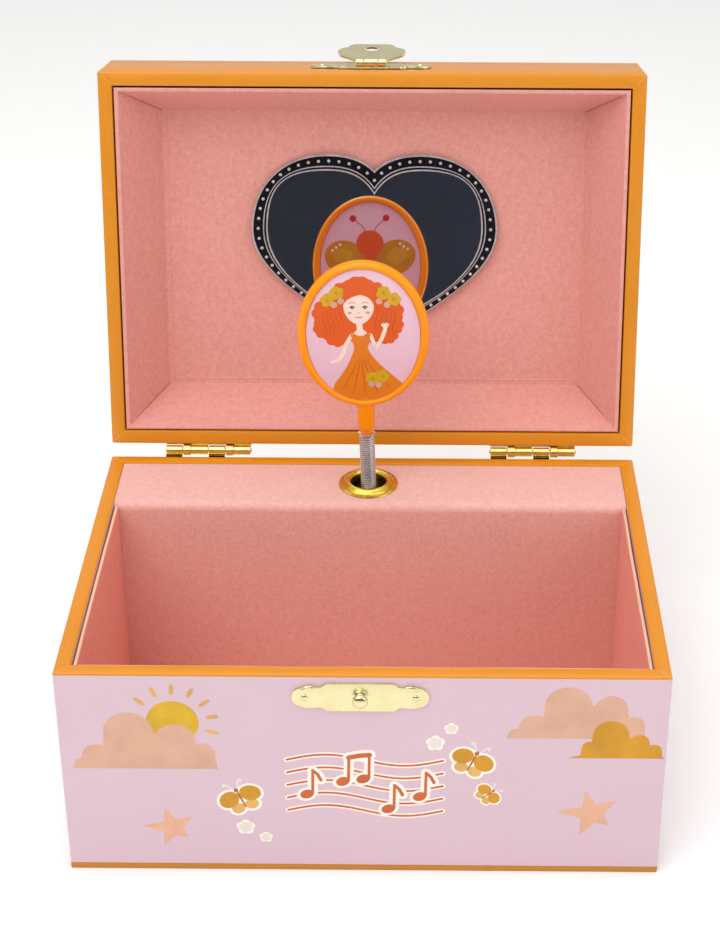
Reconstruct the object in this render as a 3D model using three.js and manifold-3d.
// Musical jewellery box: a papered box with a velvet-lined compartment, a hinged lid with a heart
// mirror, and a picture disc on a spring that an 18-note movement behind the compartment turns.
//
// Millimetres. Origin: centre of the underside. +X right, +Y to the back, +Z up. The rest pose has the
// lid open on its stop, the picture disc upright and the hasp flap folded back.
import * as THREE from 'three';
import { mergeVertices } from 'three/addons/utils/BufferGeometryUtils.js';
import Module from 'manifold-3d';

const wasm = await Module();
wasm.setup();

// ---------------------------------------------------------------- driving dimensions
const width = 155;
const depth = 110;
const boxHeight = 63;
const wall = 4;
const baseThickness = 2;

const lidHeight = 26;
const lidTopThickness = 2.5;
const closedGap = 0.7;
const lidOpenAngle = 101.3;
const turnedGap = 0.2; // between neighbours in the lid, which stands at an angle

const liningThickness = 1.5;
const liningTop = boxHeight - 0.7;
const coverFrontY = 28.3;
const coverThickness = 2;
const deckZ = boxHeight - 0.4;
const deckEdgeRadius = 2.5;

const hingeAxis = { y: depth / 2 + 2, z: boxHeight + 1.1 };
const hingeCentres = { left: -48.8, right: 47.8 };
const hingeWidth = 25.4;
const leafThickness = 0.7;

const hardwareX = -0.5;
const catchZ = 56.65;
const knobZ = 57;
const plateThickness = 0.6;
const hasp = { y: -depth / 2 - 2, z: boxHeight + closedGap + 7.5, plateZ: 75, length: 19.6 };
const flapRestAngle = 172.4;

const figureX = -0.7;
const figureY = 40.4;
const springRadius = 2.25;
const springZ = { low: 60, high: 79.9 };
const stemRadius = 2.45;
const disc = { z: 111.1, halfWidth: 18.5, halfHeight: 22.3, thickness: 4, rimX: 2.35, rimZ: 1.8 };

const eyeletHoleRadius = 6.3;
const cylinderZ = 34;
const wheelX = 32.75;
const movementBackY = depth / 2 - wall;

const quarterTurn = Math.PI / 2;
const innerX = width / 2 - wall;
const innerY = depth / 2 - wall;
const lidBottom = boxHeight + closedGap;
const lidTop = lidBottom + lidHeight;

// ---------------------------------------------------------------- materials
function finish(color, roughness, metalness = 0) {
  return new THREE.MeshStandardMaterial({ color, roughness, metalness });
}
const orangePaper = finish(0xe8931a, 0.45);
const lilacPaper = finish(0xe4c4d2, 0.5);
const baseBoard = finish(0xcd8a3f, 0.6);
const velvet = finish(0xe0897f, 0.95);
const goldPlate = finish(0xd9c98a, 0.28, 1);
const brass = finish(0xd2a53c, 0.25, 1);
const steel = finish(0x9a9a9c, 0.35, 1);
const zinc = finish(0x8f9296, 0.5, 1);
const orangePlastic = finish(0xf28a1c, 0.35);
const printedCard = finish(0xe6c3d2, 0.4);
const mirrorGlass = finish(0xc9cdd2, 0.03, 1);
const blackBorder = finish(0x17181c, 0.3);

// ---------------------------------------------------------------- solids
function toSolid(geometry) {
  const plain = geometry.clone();
  plain.deleteAttribute('normal');
  plain.deleteAttribute('uv');
  const merged = mergeVertices(plain, 1e-4);
  return new wasm.Manifold(
    new wasm.Mesh({
      numProp: 3,
      vertProperties: new Float32Array(merged.attributes.position.array),
      triVerts: new Uint32Array(merged.index.array),
    }),
  );
}

function toGeometry(solid) {
  const mesh = solid.getMesh();
  const geometry = new THREE.BufferGeometry();
  geometry.setAttribute('position', new THREE.BufferAttribute(new Float32Array(mesh.vertProperties), 3));
  geometry.setIndex(new THREE.BufferAttribute(new Uint32Array(mesh.triVerts), 1));
  const flat = geometry.toNonIndexed();
  flat.computeVertexNormals();
  return flat;
}

function join(...geometries) {
  return toGeometry(wasm.Manifold.union(geometries.map(toSolid)));
}

function cut(base, ...tools) {
  return toGeometry(toSolid(base).subtract(wasm.Manifold.union(tools.map(toSolid))));
}

function inOrder(...values) {
  return values.sort((a, b) => a - b);
}

function block(x0, x1, y0, y1, z0, z1) {
  const geometry = new THREE.BoxGeometry(x1 - x0, y1 - y0, z1 - z0);
  return geometry.translate((x0 + x1) / 2, (y0 + y1) / 2, (z0 + z1) / 2);
}

const alongX = new THREE.Vector3(1, 0, 0);
const alongY = new THREE.Vector3(0, 1, 0);
const alongZ = new THREE.Vector3(0, 0, 1);

// Lays a geometry's own x, y and z axes along three directions and moves it to a place.
function lay(geometry, directions, place) {
  return geometry.applyMatrix4(new THREE.Matrix4().makeBasis(...directions).setPosition(...place));
}

// A shape drawn in the plane across an axis, extruded along that axis from low to high.
function prism(shape, axis, low, high, curveSegments = 8) {
  const settings = { depth: high - low, bevelEnabled: false, curveSegments };
  return turnToAxis(new THREE.ExtrudeGeometry(shape, settings), axis, low, high);
}

// Extrusions are drawn in (y, z) for axis x, in (x, z) for axis y and in (x, y) for axis z.
function turnToAxis(geometry, axis, low, high) {
  if (axis === 'x') return lay(geometry, [alongY, alongZ, alongX], [low, 0, 0]);
  if (axis === 'y') return lay(geometry, [alongX, alongZ, alongY.clone().negate()], [0, high, 0]);
  return geometry.translate(0, 0, low);
}

// A profile of [radius, place along the axis] pairs, turned about an axis through the point at.
function turned(profile, axis, [first, second], segments = 24) {
  const points = profile.map(([radius, along]) => new THREE.Vector2(radius, along));
  const geometry = new THREE.LatheGeometry(points, segments);
  if (axis === 'x') return lay(geometry, [alongZ, alongX, alongY], [0, first, second]);
  if (axis === 'y') return lay(geometry, [alongZ, alongY, alongX.clone().negate()], [first, 0, second]);
  return lay(geometry, [alongY, alongZ, alongX], [first, second, 0]);
}

function rod(radius, low, high, axis, at, segments = 16) {
  return turned([[0, low], [radius, low], [radius, high], [0, high]], axis, at, segments);
}

function outline(points) {
  return new THREE.Shape(points.map(([a, b]) => new THREE.Vector2(a, b)));
}

function ellipse(centreX, centreZ, halfX, halfZ) {
  return new THREE.Shape().absellipse(centreX, centreZ, halfX, halfZ, 0, Math.PI * 2);
}

// ---------------------------------------------------------------- scene graph
const musicBox = new THREE.Group();
const lid = new THREE.Group();
const flap = new THREE.Group();
musicBox.add(lid);
lid.add(flap);

function turnAbout(group, y, z, degrees) {
  const angle = THREE.MathUtils.degToRad(degrees);
  const turnedY = y * Math.cos(angle) - z * Math.sin(angle);
  const turnedZ = y * Math.sin(angle) + z * Math.cos(angle);
  group.position.set(0, y - turnedY, z - turnedZ);
  group.rotation.x = angle;
}
turnAbout(lid, hingeAxis.y, hingeAxis.z, -lidOpenAngle);
turnAbout(flap, hasp.y, hasp.z, -flapRestAngle);

function part(name, geometry, material, parent = musicBox) {
  const mesh = new THREE.Mesh(geometry, material);
  mesh.name = name;
  parent.add(mesh);
}

// ---------------------------------------------------------------- nails and screws
// A domed head on the face at faceY with its shank running inward along Y; out is -1 or 1.
function nail(x, z, faceY, out, headRadius) {
  const profile = [
    [0, faceY - out * nailLength],
    [shankRadius, faceY - out * (nailLength - 0.5)],
    [shankRadius, faceY],
    [headRadius, faceY],
    [headRadius * 0.8, faceY + out * 0.3],
    [0, faceY + out * 0.45],
  ];
  return turned(out > 0 ? profile : profile.reverse(), 'y', [x, z], 10);
}

function nailHole(x, z, low, high) {
  return rod(nailHoleRadius, low, high, 'y', [x, z], 10);
}

const leafNailOffset = 8.2;
const boxNailZ = 57.4;
const lidNailZ = 71.2;
const nailLength = 3;
const shankRadius = 0.45;
const nailHoleRadius = 0.7;
const hingeNailRadius = 1.3;
const plateNailRadius = 0.9;
const plateNailOffset = 14;
const hingeNailXs = Object.values(hingeCentres).flatMap((x) => [x - leafNailOffset, x + leafNailOffset]);
const plateNailXs = [hardwareX - plateNailOffset, hardwareX + plateNailOffset];

// ---------------------------------------------------------------- the box
const screwPlaces = [[-10.5, 52], [46, 16]];
const keyHoleRadius = 3.5;
const knobHoleRadius = 1.5;
const screwHoleRadius = 1.5;

function makeBox() {
  part('base_board', block(-width / 2, width / 2, -depth / 2, depth / 2, 0, baseThickness), baseBoard);

  const front = block(-width / 2, width / 2, -depth / 2, -innerY, baseThickness, boxHeight);
  const frontSpan = [-depth / 2 - 1, -depth / 2 + nailLength + 0.2];
  const frontHoles = plateNailXs.map((x) => nailHole(x, catchZ, ...frontSpan));
  const knobHole = rod(knobHoleRadius, -depth / 2 - 1, -depth / 2 + 2.2, 'y', [hardwareX, knobZ], 12);
  part('front_wall', cut(front, knobHole, ...frontHoles), lilacPaper);

  const back = block(-width / 2, width / 2, innerY, depth / 2, baseThickness, boxHeight);
  const backSpan = [depth / 2 - nailLength + 0.4, depth / 2 + 1];
  const backHoles = hingeNailXs.map((x) => nailHole(x, boxNailZ, ...backSpan));
  const keyHole = rod(keyHoleRadius, innerY - 1, depth / 2 + 1, 'y', [wheelX, cylinderZ], 24);
  const screwHoles = screwPlaces.map((at) => rod(screwHoleRadius, innerY - 1, depth / 2 + 1, 'y', at, 12));
  part('back_wall', cut(back, keyHole, ...screwHoles, ...backHoles), lilacPaper);

  part('left_wall', block(-width / 2, -innerX, -innerY, innerY, baseThickness, boxHeight), lilacPaper);
  part('right_wall', block(innerX, width / 2, -innerY, innerY, baseThickness, boxHeight), lilacPaper);
}

// ---------------------------------------------------------------- velvet linings
function makeLinings() {
  const floorTop = baseThickness + liningThickness;
  const sideX = innerX - liningThickness;
  const frontY = -innerY + liningThickness;
  part('lining_floor', block(-innerX, innerX, -innerY, coverFrontY, baseThickness, floorTop), velvet);
  part('lining_front', block(-sideX, sideX, -innerY, frontY, floorTop, liningTop), velvet);
  part('lining_left', block(-innerX, -sideX, -innerY, coverFrontY, floorTop, liningTop), velvet);
  part('lining_right', block(sideX, innerX, -innerY, coverFrontY, floorTop, liningTop), velvet);

  const cover = new THREE.Shape();
  cover.moveTo(coverFrontY, baseThickness);
  cover.lineTo(coverFrontY + coverThickness, baseThickness);
  cover.lineTo(coverFrontY + coverThickness, deckZ - coverThickness);
  cover.lineTo(innerY, deckZ - coverThickness);
  cover.lineTo(innerY, deckZ);
  cover.lineTo(coverFrontY + deckEdgeRadius, deckZ);
  const edge = [coverFrontY + deckEdgeRadius, deckZ - deckEdgeRadius, deckEdgeRadius];
  cover.absarc(...edge, quarterTurn, 2 * quarterTurn, false);
  const hole = rod(eyeletHoleRadius, deckZ - 4, deckZ + 1, 'z', [figureX, figureY], 24);
  part('movement_cover', cut(prism(cover, 'x', -innerX, innerX, 4), hole), velvet);

  const eyelet = [
    [5.4, 56.5], [6, 56.5], [6, deckZ + 0.1], [8.6, deckZ + 0.1], [8.5, deckZ + 0.45],
    [7.4, deckZ + 0.75], [6.7, deckZ + 1.4], [6.1, deckZ + 1.6], [5.5, deckZ + 1.3],
    [5.05, deckZ + 0.6], [5, deckZ - 0.6], [5.4, 61], [5.4, 56.5],
  ];
  part('spindle_eyelet', turned(eyelet, 'z', [figureX, figureY], 24), brass);
}

// ---------------------------------------------------------------- the lid, drawn closed
const panelDepth = 19;
const panelZ = lidBottom + panelDepth;
const panelHalf = { x: 62, y: 41.5 };
const liningCard = 1.2;

// A box whose half sizes change from one height to another.
function frustum(low, high) {
  const geometry = new THREE.BoxGeometry(2, 2, 2);
  const place = geometry.attributes.position;
  for (let i = 0; i < place.count; i += 1) {
    const end = place.getZ(i) < 0 ? low : high;
    place.setXYZ(i, place.getX(i) * end.x, place.getY(i) * end.y, end.z);
  }
  return geometry;
}

function makeLid() {
  const topZ = lidTop - lidTopThickness;
  const wallTop = topZ - turnedGap;
  const sideY = innerY - turnedGap;
  part('lid_top', block(-width / 2, width / 2, -depth / 2, depth / 2, topZ, lidTop), orangePaper, lid);

  const front = block(-width / 2, width / 2, -depth / 2, -innerY, lidBottom, wallTop);
  const frontSpan = [-depth / 2 - 1, -depth / 2 + nailLength];
  const frontHoles = plateNailXs.map((x) => nailHole(x, hasp.plateZ, ...frontSpan));
  part('lid_front_wall', cut(front, ...frontHoles), orangePaper, lid);

  const back = block(-width / 2, width / 2, innerY, depth / 2, lidBottom, wallTop);
  const backSpan = [depth / 2 - nailLength, depth / 2 + 1];
  const backHoles = hingeNailXs.map((x) => nailHole(x, lidNailZ, ...backSpan));
  part('lid_back_wall', cut(back, ...backHoles), orangePaper, lid);

  part('lid_left_wall', block(-width / 2, -innerX, -sideY, sideY, lidBottom, wallTop), orangePaper, lid);
  part('lid_right_wall', block(innerX, width / 2, -sideY, sideY, lidBottom, wallTop), orangePaper, lid);

  const rim = { x: innerX - turnedGap, y: innerY - turnedGap, z: lidBottom + turnedGap };
  const panelBack = { x: panelHalf.x + liningCard, y: panelHalf.y + liningCard, z: panelZ + liningCard };
  const outer = frustum(rim, panelBack);
  const rise = (rim.x - liningCard - panelHalf.x) / (panelZ - rim.z);
  const mouth = { x: rim.x - liningCard + rise, y: rim.y - liningCard + rise, z: rim.z - 1 };
  const inner = frustum(mouth, { x: panelHalf.x, y: panelHalf.y, z: panelZ });
  part('lid_lining', cut(outer, inner), velvet, lid);
}

// ---------------------------------------------------------------- heart mirror
const heart = { x: 0.3, half: 36.45, lobeX: 13.9, lobeY: 29, cleftY: 24.3, sideY: 6.3, tipY: -29 };

// The heart's outline, drawn in by inset all round; its cleft points to the lid's front edge.
function heartShape(inset) {
  const half = heart.half - inset;
  const top = heart.lobeY - inset;
  const right = [
    [[0, heart.cleftY - inset * 1.5], [3.4, top - 1.4], [8, top], [heart.lobeX, top]],
    [[heart.lobeX, top], [27, top], [half, 19.5], [half, heart.sideY]],
    [[half, heart.sideY], [half, -7.5], [15, -18], [0, heart.tipY + inset * 1.45]],
  ];
  const left = right.map((curve) => curve.map(([x, y]) => [-x, y]).reverse()).reverse();
  const shape = new THREE.Shape();
  for (const curve of [...right, ...left]) {
    const points = curve.map(([x, y]) => new THREE.Vector2(heart.x + x, -y));
    shape.curves.push(new THREE.CubicBezierCurve(...points));
  }
  return shape;
}

function makeMirror() {
  const borderWidth = 4.6;
  const backZ = panelZ - turnedGap;
  const frame = prism(heartShape(0), 'z', backZ - 1.8, backZ, 8);
  const opening = prism(heartShape(borderWidth - turnedGap), 'z', backZ - 3, backZ + 1, 8);
  part('mirror_frame', cut(frame, opening), blackBorder, lid);
  part('mirror_glass', prism(heartShape(borderWidth), 'z', backZ - 1.5, backZ, 8), mirrorGlass, lid);
}

// ---------------------------------------------------------------- hinges
// Knuckles as [from, to, radius] along the hinge's width, measured from its centre.
const barrel = 1.35;
const collar = 1.65;
const boxKnuckles = [[-12.55, -7.75, barrel], [0.15, 4.95, barrel]];
const lidKnuckles = [
  [-7.45, -5.2, collar], [-5.05, -0.15, barrel], [5.25, 7.5, collar], [7.65, 12.55, barrel],
];
const leafClearance = 1.9;
const leafEnds = { box: 53, lid: 75.4 };
const hingePin = { radius: 0.55, boreRadius: 0.75, overhang: 0.2 };

// One leaf: a plate on the back face, and knuckles rolled out to the pin. side is -1 below, 1 above.
function hingeLeaf(centre, knuckles, side, plateEnd) {
  const { y, z } = hingeAxis;
  const face = depth / 2 + (side > 0 ? turnedGap : 0);
  const thick = [face, face + leafThickness];
  const plateStart = z + side * leafClearance;
  const span = inOrder(plateStart, plateEnd);
  const plate = block(centre - hingeWidth / 2, centre + hingeWidth / 2, ...thick, ...span);
  const rolled = knuckles.map(([from, to, radius]) => {
    const wide = [centre + from, centre + to];
    const inside = z + side * (radius - leafThickness);
    return [
      rod(radius, ...wide, 'x', [y, z], 12),
      block(...wide, face, y, ...inOrder(inside, z + side * radius)),
      block(...wide, ...thick, ...inOrder(inside, plateStart + side * 0.5)),
    ];
  });
  const bore = rod(hingePin.boreRadius, centre - hingeWidth, centre + hingeWidth, 'x', [y, z], 8);
  const nailZ = side < 0 ? boxNailZ : lidNailZ;
  const nailXs = [centre - leafNailOffset, centre + leafNailOffset];
  const holes = nailXs.map((x) => nailHole(x, nailZ, depth / 2 - 1, face + 2));
  return cut(join(plate, ...rolled.flat()), bore, ...holes);
}

function makeHinges() {
  for (const [side, centre] of Object.entries(hingeCentres)) {
    part(`hinge_leaf_box_${side}`, hingeLeaf(centre, boxKnuckles, -1, leafEnds.box), brass);
    part(`hinge_leaf_lid_${side}`, hingeLeaf(centre, lidKnuckles, 1, leafEnds.lid), brass, lid);
    const half = hingeWidth / 2 + hingePin.overhang;
    const pin = rod(hingePin.radius, centre - half, centre + half, 'x', [hingeAxis.y, hingeAxis.z], 8);
    part(`hinge_pin_${side}`, pin, brass);
  }
  hingeNailXs.forEach((x, i) => {
    const face = depth / 2 + leafThickness;
    const lidFace = face + 2 * turnedGap;
    part(`hinge_nail_box_${i + 1}`, nail(x, boxNailZ, face, 1, hingeNailRadius), brass);
    part(`hinge_nail_lid_${i + 1}`, nail(x, lidNailZ, lidFace, 1, hingeNailRadius), brass, lid);
  });
}

// ---------------------------------------------------------------- clasp
// A plate with a tall middle and two lower round-ended wings, drawn about its centre in (x, z).
function wingedPlate(centreZ) {
  const shape = new THREE.Shape();
  const at = (x, z) => [hardwareX + x, centreZ + z];
  const wing = { x: 14.15, half: 3.2 };
  const outward = [[8.7, 4.2], [9.6, 4.1], [10.4, 3.05], [11.4, 2.9]];
  const inward = outward.toReversed();
  const trace = (signX, signZ, corners) => {
    corners.forEach(([x, z]) => shape.lineTo(...at(signX * x, signZ * z)));
  };
  shape.moveTo(...at(0, -4.2));
  trace(1, -1, outward);
  shape.absarc(...at(wing.x, 0), wing.half, -quarterTurn, quarterTurn, false);
  trace(1, 1, inward);
  trace(-1, 1, outward);
  shape.absarc(...at(-wing.x, 0), wing.half, quarterTurn, 3 * quarterTurn, false);
  trace(-1, -1, inward);
  return shape;
}

// The flap, hanging below its pin, drawn in (x, z).
function flapShape() {
  const shape = new THREE.Shape();
  const side = [
    [1.9, 0.9], [1.9, 1.5], [4.2, 1.8], [5.6, 3.2], [7.4, 5.2], [9, 7.8], [9.8, 10.2], [9.7, 12.6],
    [8.9, 14.8], [7.6, 15.9], [6.9, 16.2], [6.6, 17.6], [5.9, 18.9], [4.6, hasp.length],
  ];
  const right = side.map(([x, down]) => new THREE.Vector2(hardwareX + x, hasp.z - down));
  const left = side.map(([x, down]) => new THREE.Vector2(hardwareX - x, hasp.z - down));
  shape.setFromPoints([...left, ...right.reverse()]);
  return shape;
}

const haspPin = { radius: 0.45, boreRadius: 0.6 };
const haspKnuckle = { radius: 1.1, inner: 2.1, outer: 4.3 };
const flapHoleRadius = 2.2;

function makeClasp() {
  const boxFace = -depth / 2;
  const catchHoles = plateNailXs.map((x) => nailHole(x, catchZ, boxFace - 2, boxFace + 1));
  const stemHole = rod(knobHoleRadius, boxFace - 2, boxFace + 1, 'y', [hardwareX, knobZ], 12);
  const catchPlate = prism(wingedPlate(catchZ), 'y', boxFace - plateThickness, boxFace, 6);
  part('catch_plate', cut(catchPlate, stemHole, ...catchHoles), goldPlate);
  plateNailXs.forEach((x, i) => {
    const head = nail(x, catchZ, boxFace - plateThickness, -1, plateNailRadius);
    part(`catch_nail_${i + 1}`, head, goldPlate);
  });
  const knob = [
    [0, boxFace + 2], [1.2, boxFace + 2], [1.2, boxFace - 0.7], [1.75, boxFace - 0.7],
    [1.75, boxFace - 1.1], [1.35, boxFace - 1.6], [1.7, boxFace - 2], [1.95, boxFace - 2.7],
    [1.6, boxFace - 3.3], [0.9, boxFace - 3.65], [0, boxFace - 3.75],
  ];
  part('catch_knob', turned(knob.reverse(), 'y', [hardwareX, knobZ], 18), goldPlate);

  const lidFace = boxFace - turnedGap;
  const { radius, inner, outer } = haspKnuckle;
  const plate = prism(wingedPlate(hasp.plateZ), 'y', lidFace - plateThickness, lidFace, 6);
  const ears = [-1, 1].flatMap((side) => {
    const span = inOrder(hardwareX + side * inner, hardwareX + side * outer);
    const rise = [hasp.z + radius - plateThickness, hasp.z + radius];
    return [rod(radius, ...span, 'x', [hasp.y, hasp.z], 14), block(...span, hasp.y, lidFace, ...rise)];
  });
  const pinBore = rod(haspPin.boreRadius, hardwareX - 6, hardwareX + 6, 'x', [hasp.y, hasp.z], 12);
  const reach = { x: 4.5, low: hasp.z - 2, high: hasp.z + radius - plateThickness };
  const notchX = [hardwareX - reach.x, hardwareX + reach.x];
  const notch = block(...notchX, lidFace - 1, lidFace + 1, reach.low, reach.high);
  const haspHoles = plateNailXs.map((x) => nailHole(x, hasp.plateZ, lidFace - 2, lidFace + 1));
  part('hasp_plate', cut(join(cut(plate, notch), ...ears), pinBore, ...haspHoles), goldPlate, lid);
  plateNailXs.forEach((x, i) => {
    const face = lidFace - plateThickness - turnedGap;
    part(`hasp_nail_${i + 1}`, nail(x, hasp.plateZ, face, -1, plateNailRadius), goldPlate, lid);
  });
  const pinEnds = [hardwareX - outer - 0.2, hardwareX + outer + 0.2];
  const pin = rod(haspPin.radius, ...pinEnds, 'x', [hasp.y, hasp.z], 10);
  part('hasp_pin', pin, goldPlate, lid);

  const tongue = prism(flapShape(), 'y', hasp.y - plateThickness / 2, hasp.y + plateThickness / 2);
  const roll = rod(radius, hardwareX - inner + 0.2, hardwareX + inner - 0.2, 'x', [hasp.y, hasp.z], 14);
  const knobHole = rod(flapHoleRadius, hasp.y - 2, hasp.y + 2, 'y', [hardwareX, knobZ], 20);
  part('hasp_flap', cut(join(tongue, roll), pinBore, knobHole), goldPlate, flap);
}

// ---------------------------------------------------------------- picture disc on its spring
function makeFigure() {
  const { low, high } = springZ;
  const coils = 12;
  const pitch = (high - low) / coils;
  const valley = springRadius - 0.3;
  const sleeve = [[0, low]];
  for (let i = 0; i < coils; i += 1) {
    sleeve.push([valley, low + i * pitch], [springRadius, low + (i + 0.5) * pitch]);
  }
  sleeve.push([valley, high], [0, high]);
  part('figure_spring', turned(sleeve, 'z', [figureX, figureY], 10), steel);

  const front = figureY - disc.thickness / 2;
  const back = figureY + disc.thickness / 2;
  const opening = { x: disc.halfWidth - disc.rimX, z: disc.halfHeight - disc.rimZ };
  const bevel = 0.7;
  const oval = ellipse(figureX, disc.z, disc.halfWidth - bevel, disc.halfHeight - bevel);
  const body = new THREE.ExtrudeGeometry(oval, {
    depth: disc.thickness - 2 * bevel,
    bevelSize: bevel,
    bevelThickness: bevel,
    bevelSegments: 1,
    curveSegments: 20,
  });
  const round = turnToAxis(body, 'y', front + bevel, back - bevel);
  const recess = ellipse(figureX, disc.z, opening.x, opening.z);
  const web = 0.8;
  const card = 0.5;
  const frontRecess = prism(recess, 'y', front - 1, figureY - web, 20);
  const backRecess = prism(recess, 'y', figureY + web, back + 1, 20);
  const stemTop = disc.z - disc.halfHeight + disc.rimZ - 0.45;
  const neck = [[0, high], [1.9, high], [1.9, high + 1.5], [stemRadius, high + 1.9]];
  const stem = turned([...neck, [stemRadius, stemTop], [0, stemTop]], 'z', [figureX, figureY], 20);
  part('figure_frame', join(cut(round, frontRecess, backRecess), stem), orangePlastic);

  const picture = ellipse(figureX, disc.z, opening.x - 0.15, opening.z - 0.15);
  part('figure_picture_front', prism(picture, 'y', figureY - web - card, figureY - web, 20), printedCard);
  part('figure_picture_back', prism(picture, 'y', figureY + web, figureY + web + card, 20), printedCard);
}

// ---------------------------------------------------------------- gears
// Straight-sided teeth with wide backlash. phase is in teeth: 0 puts a tooth on the first axis.
const addendum = 0.7;
const dedendum = 1.15;
const rootShare = 0.25;
const tipShare = 0.09;

function spurShape(teeth, module, phase, tip) {
  const pitchRadius = (teeth * module) / 2;
  const pitch = (2 * Math.PI) / teeth;
  const flanks = [[-rootShare, -dedendum], [-tipShare, tip], [tipShare, tip], [rootShare, -dedendum]];
  const points = [];
  for (let i = 0; i < teeth; i += 1) {
    const centre = (i + phase) * pitch;
    for (const [share, rise] of flanks) {
      const angle = centre + share * pitch;
      const radius = pitchRadius + rise * module;
      points.push([radius * Math.cos(angle), radius * Math.sin(angle)]);
    }
  }
  return outline(points);
}

function spur(teeth, module, axis, low, high, at, phase = 0, tip = addendum) {
  const gear = prism(spurShape(teeth, module, phase, tip), axis, low, high);
  if (axis === 'x') return gear.translate(0, at[0], at[1]);
  return gear.translate(at[0], at[1], 0);
}

// A crown wheel: a disc with teeth standing off one face towards the low end of its axis.
function crown(teeth, module, discLow, discHigh, pitchPlane, faceHalf, axis, at, phase) {
  const radius = (teeth * module) / 2;
  const pitch = Math.PI * module;
  const root = discLow + 0.2;
  const tip = pitchPlane - addendum * module;
  const solids = [rod(radius + faceHalf, discLow, discHigh, 'z', [0, 0], teeth)];
  const flanks = [[-rootShare, root], [-tipShare, tip], [tipShare, tip], [rootShare, root]];
  const tooth = outline(flanks.map(([share, height]) => [share * pitch, height]));
  for (let i = 0; i < teeth; i += 1) {
    const solid = prism(tooth, 'y', radius - faceHalf, radius + faceHalf);
    solids.push(solid.rotateZ((2 * Math.PI * (i + phase)) / teeth - quarterTurn));
  }
  const wheel = join(...solids);
  if (axis === 'x') return lay(wheel, [alongY, alongZ, alongX], [0, at[0], at[1]]);
  return lay(wheel, [alongZ, alongX, alongY], [at[0], 0, at[1]]);
}

// ---------------------------------------------------------------- the movement
const cylinder = { radius: 6.5, low: 7, high: 19, pinRadius: 7.05 };
const governor = { z: cylinderZ - 9.5, wheelX: -6.75, wormY: 33.8 };
const worm = { low: 20.5, turns: 5, pitch: Math.PI * 0.5, radius: 1.05 };
const bedFrontY = movementBackY - 2;
const comb = { low: 7.6, high: 19.6, teeth: 18, baseZ: 12, rootZ: 17.5, tipZ: 26.7, y: 39.8, thickness: 1.2 };
const combScrew = [13.6, 14.6];
const bracket = { left: -4.2, right: 1.5, thickness: 1.5 };
const toothModule = { fine: 0.5, coarse: 0.6 };

function makeBedplate() {
  const plate = block(-14, 50, bedFrontY, movementBackY, 12, 56);
  const bosses = screwPlaces.map((at) => rod(2.8, 46, bedFrontY + 1, 'y', at, 16));
  const shelf = block(comb.low, comb.high, comb.y + comb.thickness, bedFrontY + 1, 12, 17);
  const foot = bedFrontY + 1;
  const post = outline([[foot, 15], [foot, 20], [41.8, 20], [41.8, 36], [38.8, 36], [38.8, 15]]);
  const bearings = [
    block(-3.4, -2.2, 38, foot, 32, 36),
    prism(post, 'x', 22.2, 23),
    block(-12, -10.8, 38, foot, governor.z - 2.5, governor.z + 2.5),
    block(-1.6, -0.4, 38, foot, governor.z - 2.5, governor.z + 2.5),
    block(-9.6, -4.6, 31.5, foot, 14, 16),
    block(-9.6, -4.6, 31.5, foot, 47.5, 49.5),
  ];
  part(
    'movement_bedplate',
    cut(
      join(plate, ...bosses, shelf, ...bearings),
      ...screwPlaces.map((at) => rod(1.35, 46.5, movementBackY + 1, 'y', at, 12)),
      rod(1.1, 40, 45, 'y', combScrew, 12),
      rod(1.25, -8, 30, 'x', [figureY, cylinderZ], 12),
      rod(1, -13, 5, 'x', [figureY, governor.z], 12),
      rod(0.85, 13, 50, 'z', [governor.wheelX, governor.wormY], 12),
      rod(2.4, 48, 52, 'y', [wheelX, cylinderZ], 20),
    ),
    zinc,
  );
  screwPlaces.forEach((at, i) => {
    const face = depth / 2;
    const profile = [[0, 47.2], [1.15, 47.2], [1.15, face], [2.6, face], [2.3, face + 0.9], [0, face + 1.3]];
    part(`movement_screw_${i + 1}`, turned(profile, 'y', at, 14), steel);
  });
}

function makeSpindle() {
  const at = [figureX, figureY];
  const { left, right, thickness } = bracket;
  const flange = block(left, right, bedFrontY - thickness, bedFrontY, 36.9, 54);
  const lowArm = block(left, right, figureY - 3, bedFrontY, 36.9, 38.3);
  const highArm = block(left, right, figureY - 3, bedFrontY, 51.5, 53);
  const bores = [rod(1.25, 36, 39, 'z', at, 14), rod(1.8, 51, 54, 'z', at, 14)];
  part('spindle_bracket', cut(join(flange, lowArm, highArm), ...bores), steel);

  const lower = [[0, 37], [1, 37], [1, 38.6], [1.5, 38.6], [1.5, 58]];
  const seat = [[springRadius, 58], [springRadius, springZ.low], [0, springZ.low]];
  const pinion = spur(12, toothModule.coarse, 'z', 40, 42.4, at);
  part('figure_spindle', join(turned([...lower, ...seat], 'z', at, 16), pinion), steel);
}

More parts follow.
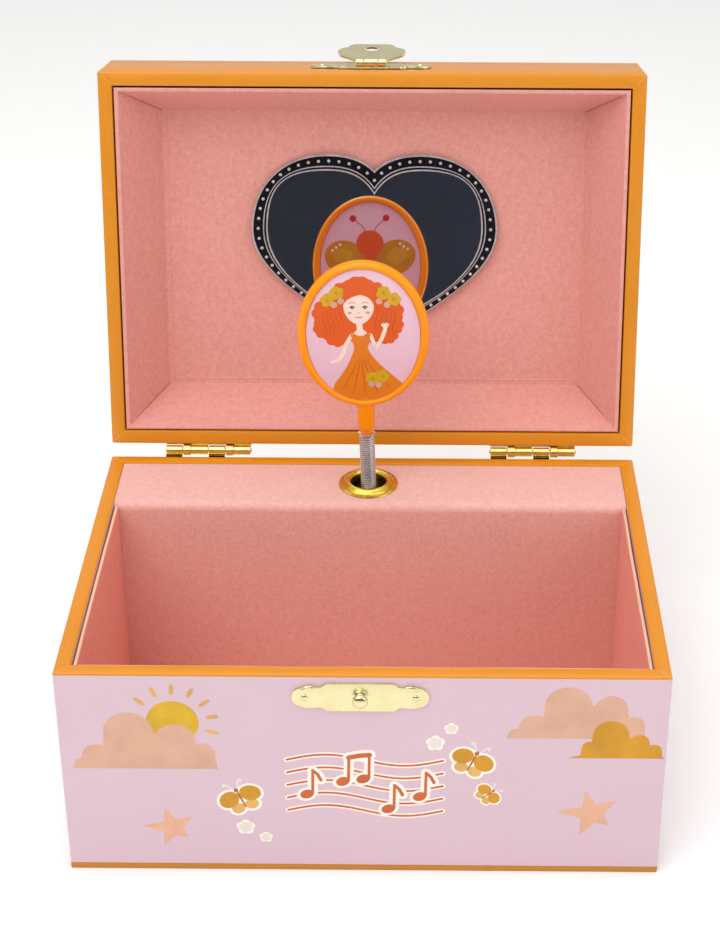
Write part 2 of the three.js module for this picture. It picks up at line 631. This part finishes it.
function makeCylinder() {
  const at = [figureY, cylinderZ];
  const solids = [
    rod(cylinder.radius, cylinder.low, cylinder.high, 'x', at, 24),
    rod(1, -3.6, 23.2, 'x', at, 14),
    rod(3, 5, 7.5, 'x', at, 16),
    crown(24, toothModule.coarse, 4.2, 5.4, figureX + 3.6, 1, 'x', at, 0.5),
    spur(30, toothModule.fine, 'x', 5.6, 6.8, at, 0.5),
    spur(12, toothModule.fine, 'x', 19.6, 22, at),
    rod(1.8, 18.5, 20, 'x', at, 14),
  ];
  const pins = 36;
  const pinWidth = 0.36;
  const goldenAngle = Math.PI * (3 - Math.sqrt(5));
  const toothPitch = (comb.high - comb.low) / comb.teeth;
  const length = cylinder.pinRadius - cylinder.radius + 0.4;
  for (let i = 0; i < pins; i += 1) {
    const x = comb.low + toothPitch * (((i * 7) % comb.teeth) + 0.5);
    if (x > cylinder.high - 0.3) continue;
    const pin = new THREE.BoxGeometry(pinWidth, length, pinWidth);
    pin.translate(x, cylinder.pinRadius - length / 2, 0);
    solids.push(pin.rotateX(i * goldenAngle).translate(0, ...at));
  }
  part('music_cylinder', join(...solids), brass);
}

function makeComb() {
  const points = [[comb.low, comb.baseZ], [comb.high, comb.baseZ]];
  const pitch = (comb.high - comb.low) / comb.teeth;
  const slit = 0.1;
  for (let i = comb.teeth - 1; i >= 0; i -= 1) {
    const left = comb.low + i * pitch;
    const right = left + pitch;
    const root = comb.rootZ + (comb.teeth - 1 - i) * 0.12;
    points.push([right - slit, root], [right - slit, comb.tipZ]);
    points.push([left + slit, comb.tipZ], [left + slit, root]);
  }
  const steelComb = prism(outline(points), 'y', comb.y, comb.y + comb.thickness);
  part('music_comb', cut(steelComb, rod(1.1, 39, 42, 'y', combScrew, 12)), steel);
  const head = [[0, comb.y - 1.2], [1.4, comb.y - 1.1], [1.7, comb.y]];
  const screw = [...head, [0.9, comb.y], [0.9, 44.4], [0, 44.4]];
  part('comb_screw', turned(screw, 'y', combScrew, 12), brass);
}

// A spiral strip from the arbor out to the housing's wall.
function mainspringShape() {
  const turns = 5;
  const steps = 60;
  const strip = 0.4;
  const inside = [];
  const outside = [];
  for (let i = 0; i <= steps; i += 1) {
    const share = i / steps;
    const angle = share * turns * 2 * Math.PI;
    const radius = 2.6 + 5.4 * share;
    inside.push([wheelX + radius * Math.cos(angle), cylinderZ + radius * Math.sin(angle)]);
    const outer = radius + strip;
    outside.push([wheelX + outer * Math.cos(angle), cylinderZ + outer * Math.sin(angle)]);
  }
  return outline([...outside, ...inside.reverse()]);
}

function makeSpringDrive() {
  const at = [wheelX, cylinderZ];
  const cup = [[0, 31], [9.5, 31], [9.5, 41.5], [8.7, 41.5], [8.7, 32.2], [0, 32.2]];
  const arms = [
    block(wheelX + 9, 49, 39.5, 41.5, 31, 37),
    block(46.6, 49, 39.5, bedFrontY, 31, 37),
    block(30, 36, 39.5, 41.5, 15, cylinderZ - 9),
    block(30, 36, 39.5, bedFrontY, 15, 19.5),
  ];
  part('spring_housing', join(turned(cup, 'y', at, 40), ...arms), zinc);
  part('mainspring', prism(mainspringShape(), 'y', 33, 41), steel);

  const arbor = [[0, 32.8], [2, 32.8], [2, 51.2], [1.5, 51.5], [1.5, 58], [0, 58]];
  const wheel = crown(48, toothModule.fine, 44.5, 46, figureY + 3, 1.1, 'y', at, 0.5);
  part('great_wheel', join(turned(arbor, 'y', at, 18), wheel), brass);

  const sleeve = [[1.75, 56], [2.7, 56], [2.7, 65], [0, 65], [0, 58.3], [1.75, 58.3], [1.75, 56]];
  const wings = new THREE.Shape();
  wings.moveTo(wheelX, 62.5);
  wings.bezierCurveTo(wheelX + 4, 61, wheelX + 12, 58.5, wheelX + 12, 66);
  wings.bezierCurveTo(wheelX + 12, 73, wheelX + 5, 73, wheelX, 69);
  wings.bezierCurveTo(wheelX - 5, 73, wheelX - 12, 73, wheelX - 12, 66);
  wings.bezierCurveTo(wheelX - 12, 58.5, wheelX - 4, 61, wheelX, 62.5);
  const butterfly = prism(wings, 'z', cylinderZ - 0.9, cylinderZ + 0.9, 8);
  part('winding_key', join(turned(sleeve, 'y', at, 20), butterfly), brass);
}

class Helix extends THREE.Curve {
  constructor(radius, low, high, turns) {
    super();
    Object.assign(this, { radius, low, high, turns });
  }

  getPoint(t, target = new THREE.Vector3()) {
    const angle = 2 * Math.PI * this.turns * t;
    const z = this.low + (this.high - this.low) * t;
    return target.set(this.radius * Math.cos(angle), this.radius * Math.sin(angle), z);
  }
}

function makeGovernor() {
  const at = [figureY, governor.z];
  const rim = [governor.wheelX - 0.75, governor.wheelX + 0.75];
  const wheel = spur(20, toothModule.fine, 'x', ...rim, at, 0, 0.2);
  const pinion = spur(8, toothModule.fine, 'x', 5.6, 6.8, at, 0.5);
  part('governor_wheel', join(rod(0.75, -12, 7.2, 'x', at, 12), wheel, pinion), brass);

  const thread = new THREE.ExtrudeGeometry(ellipse(0, 0, 0.3, 0.3), {
    extrudePath: new Helix(worm.radius, worm.low, worm.low + worm.turns * worm.pitch, worm.turns),
    steps: 40,
    curveSegments: 2,
    bevelEnabled: false,
  });
  const core = rod(0.85, 19.5, 29.5, 'z', [0, 0], 12);
  const staff = rod(0.6, 14.2, 49.2, 'z', [0, 0], 10);
  const vane = block(-3, 3, -0.25, 0.25, 33, 42);
  const hub = rod(1.1, 32.5, 42.5, 'z', [0, 0], 12);
  const fly = join(thread, core, staff, vane, hub);
  part('governor_fly', fly.translate(governor.wheelX, governor.wormY, 0), brass);
}

makeBox();
makeLinings();
makeLid();
makeMirror();
makeHinges();
makeClasp();
makeFigure();
makeBedplate();
makeSpindle();
makeCylinder();
makeComb();
makeSpringDrive();
makeGovernor();

export default musicBox;
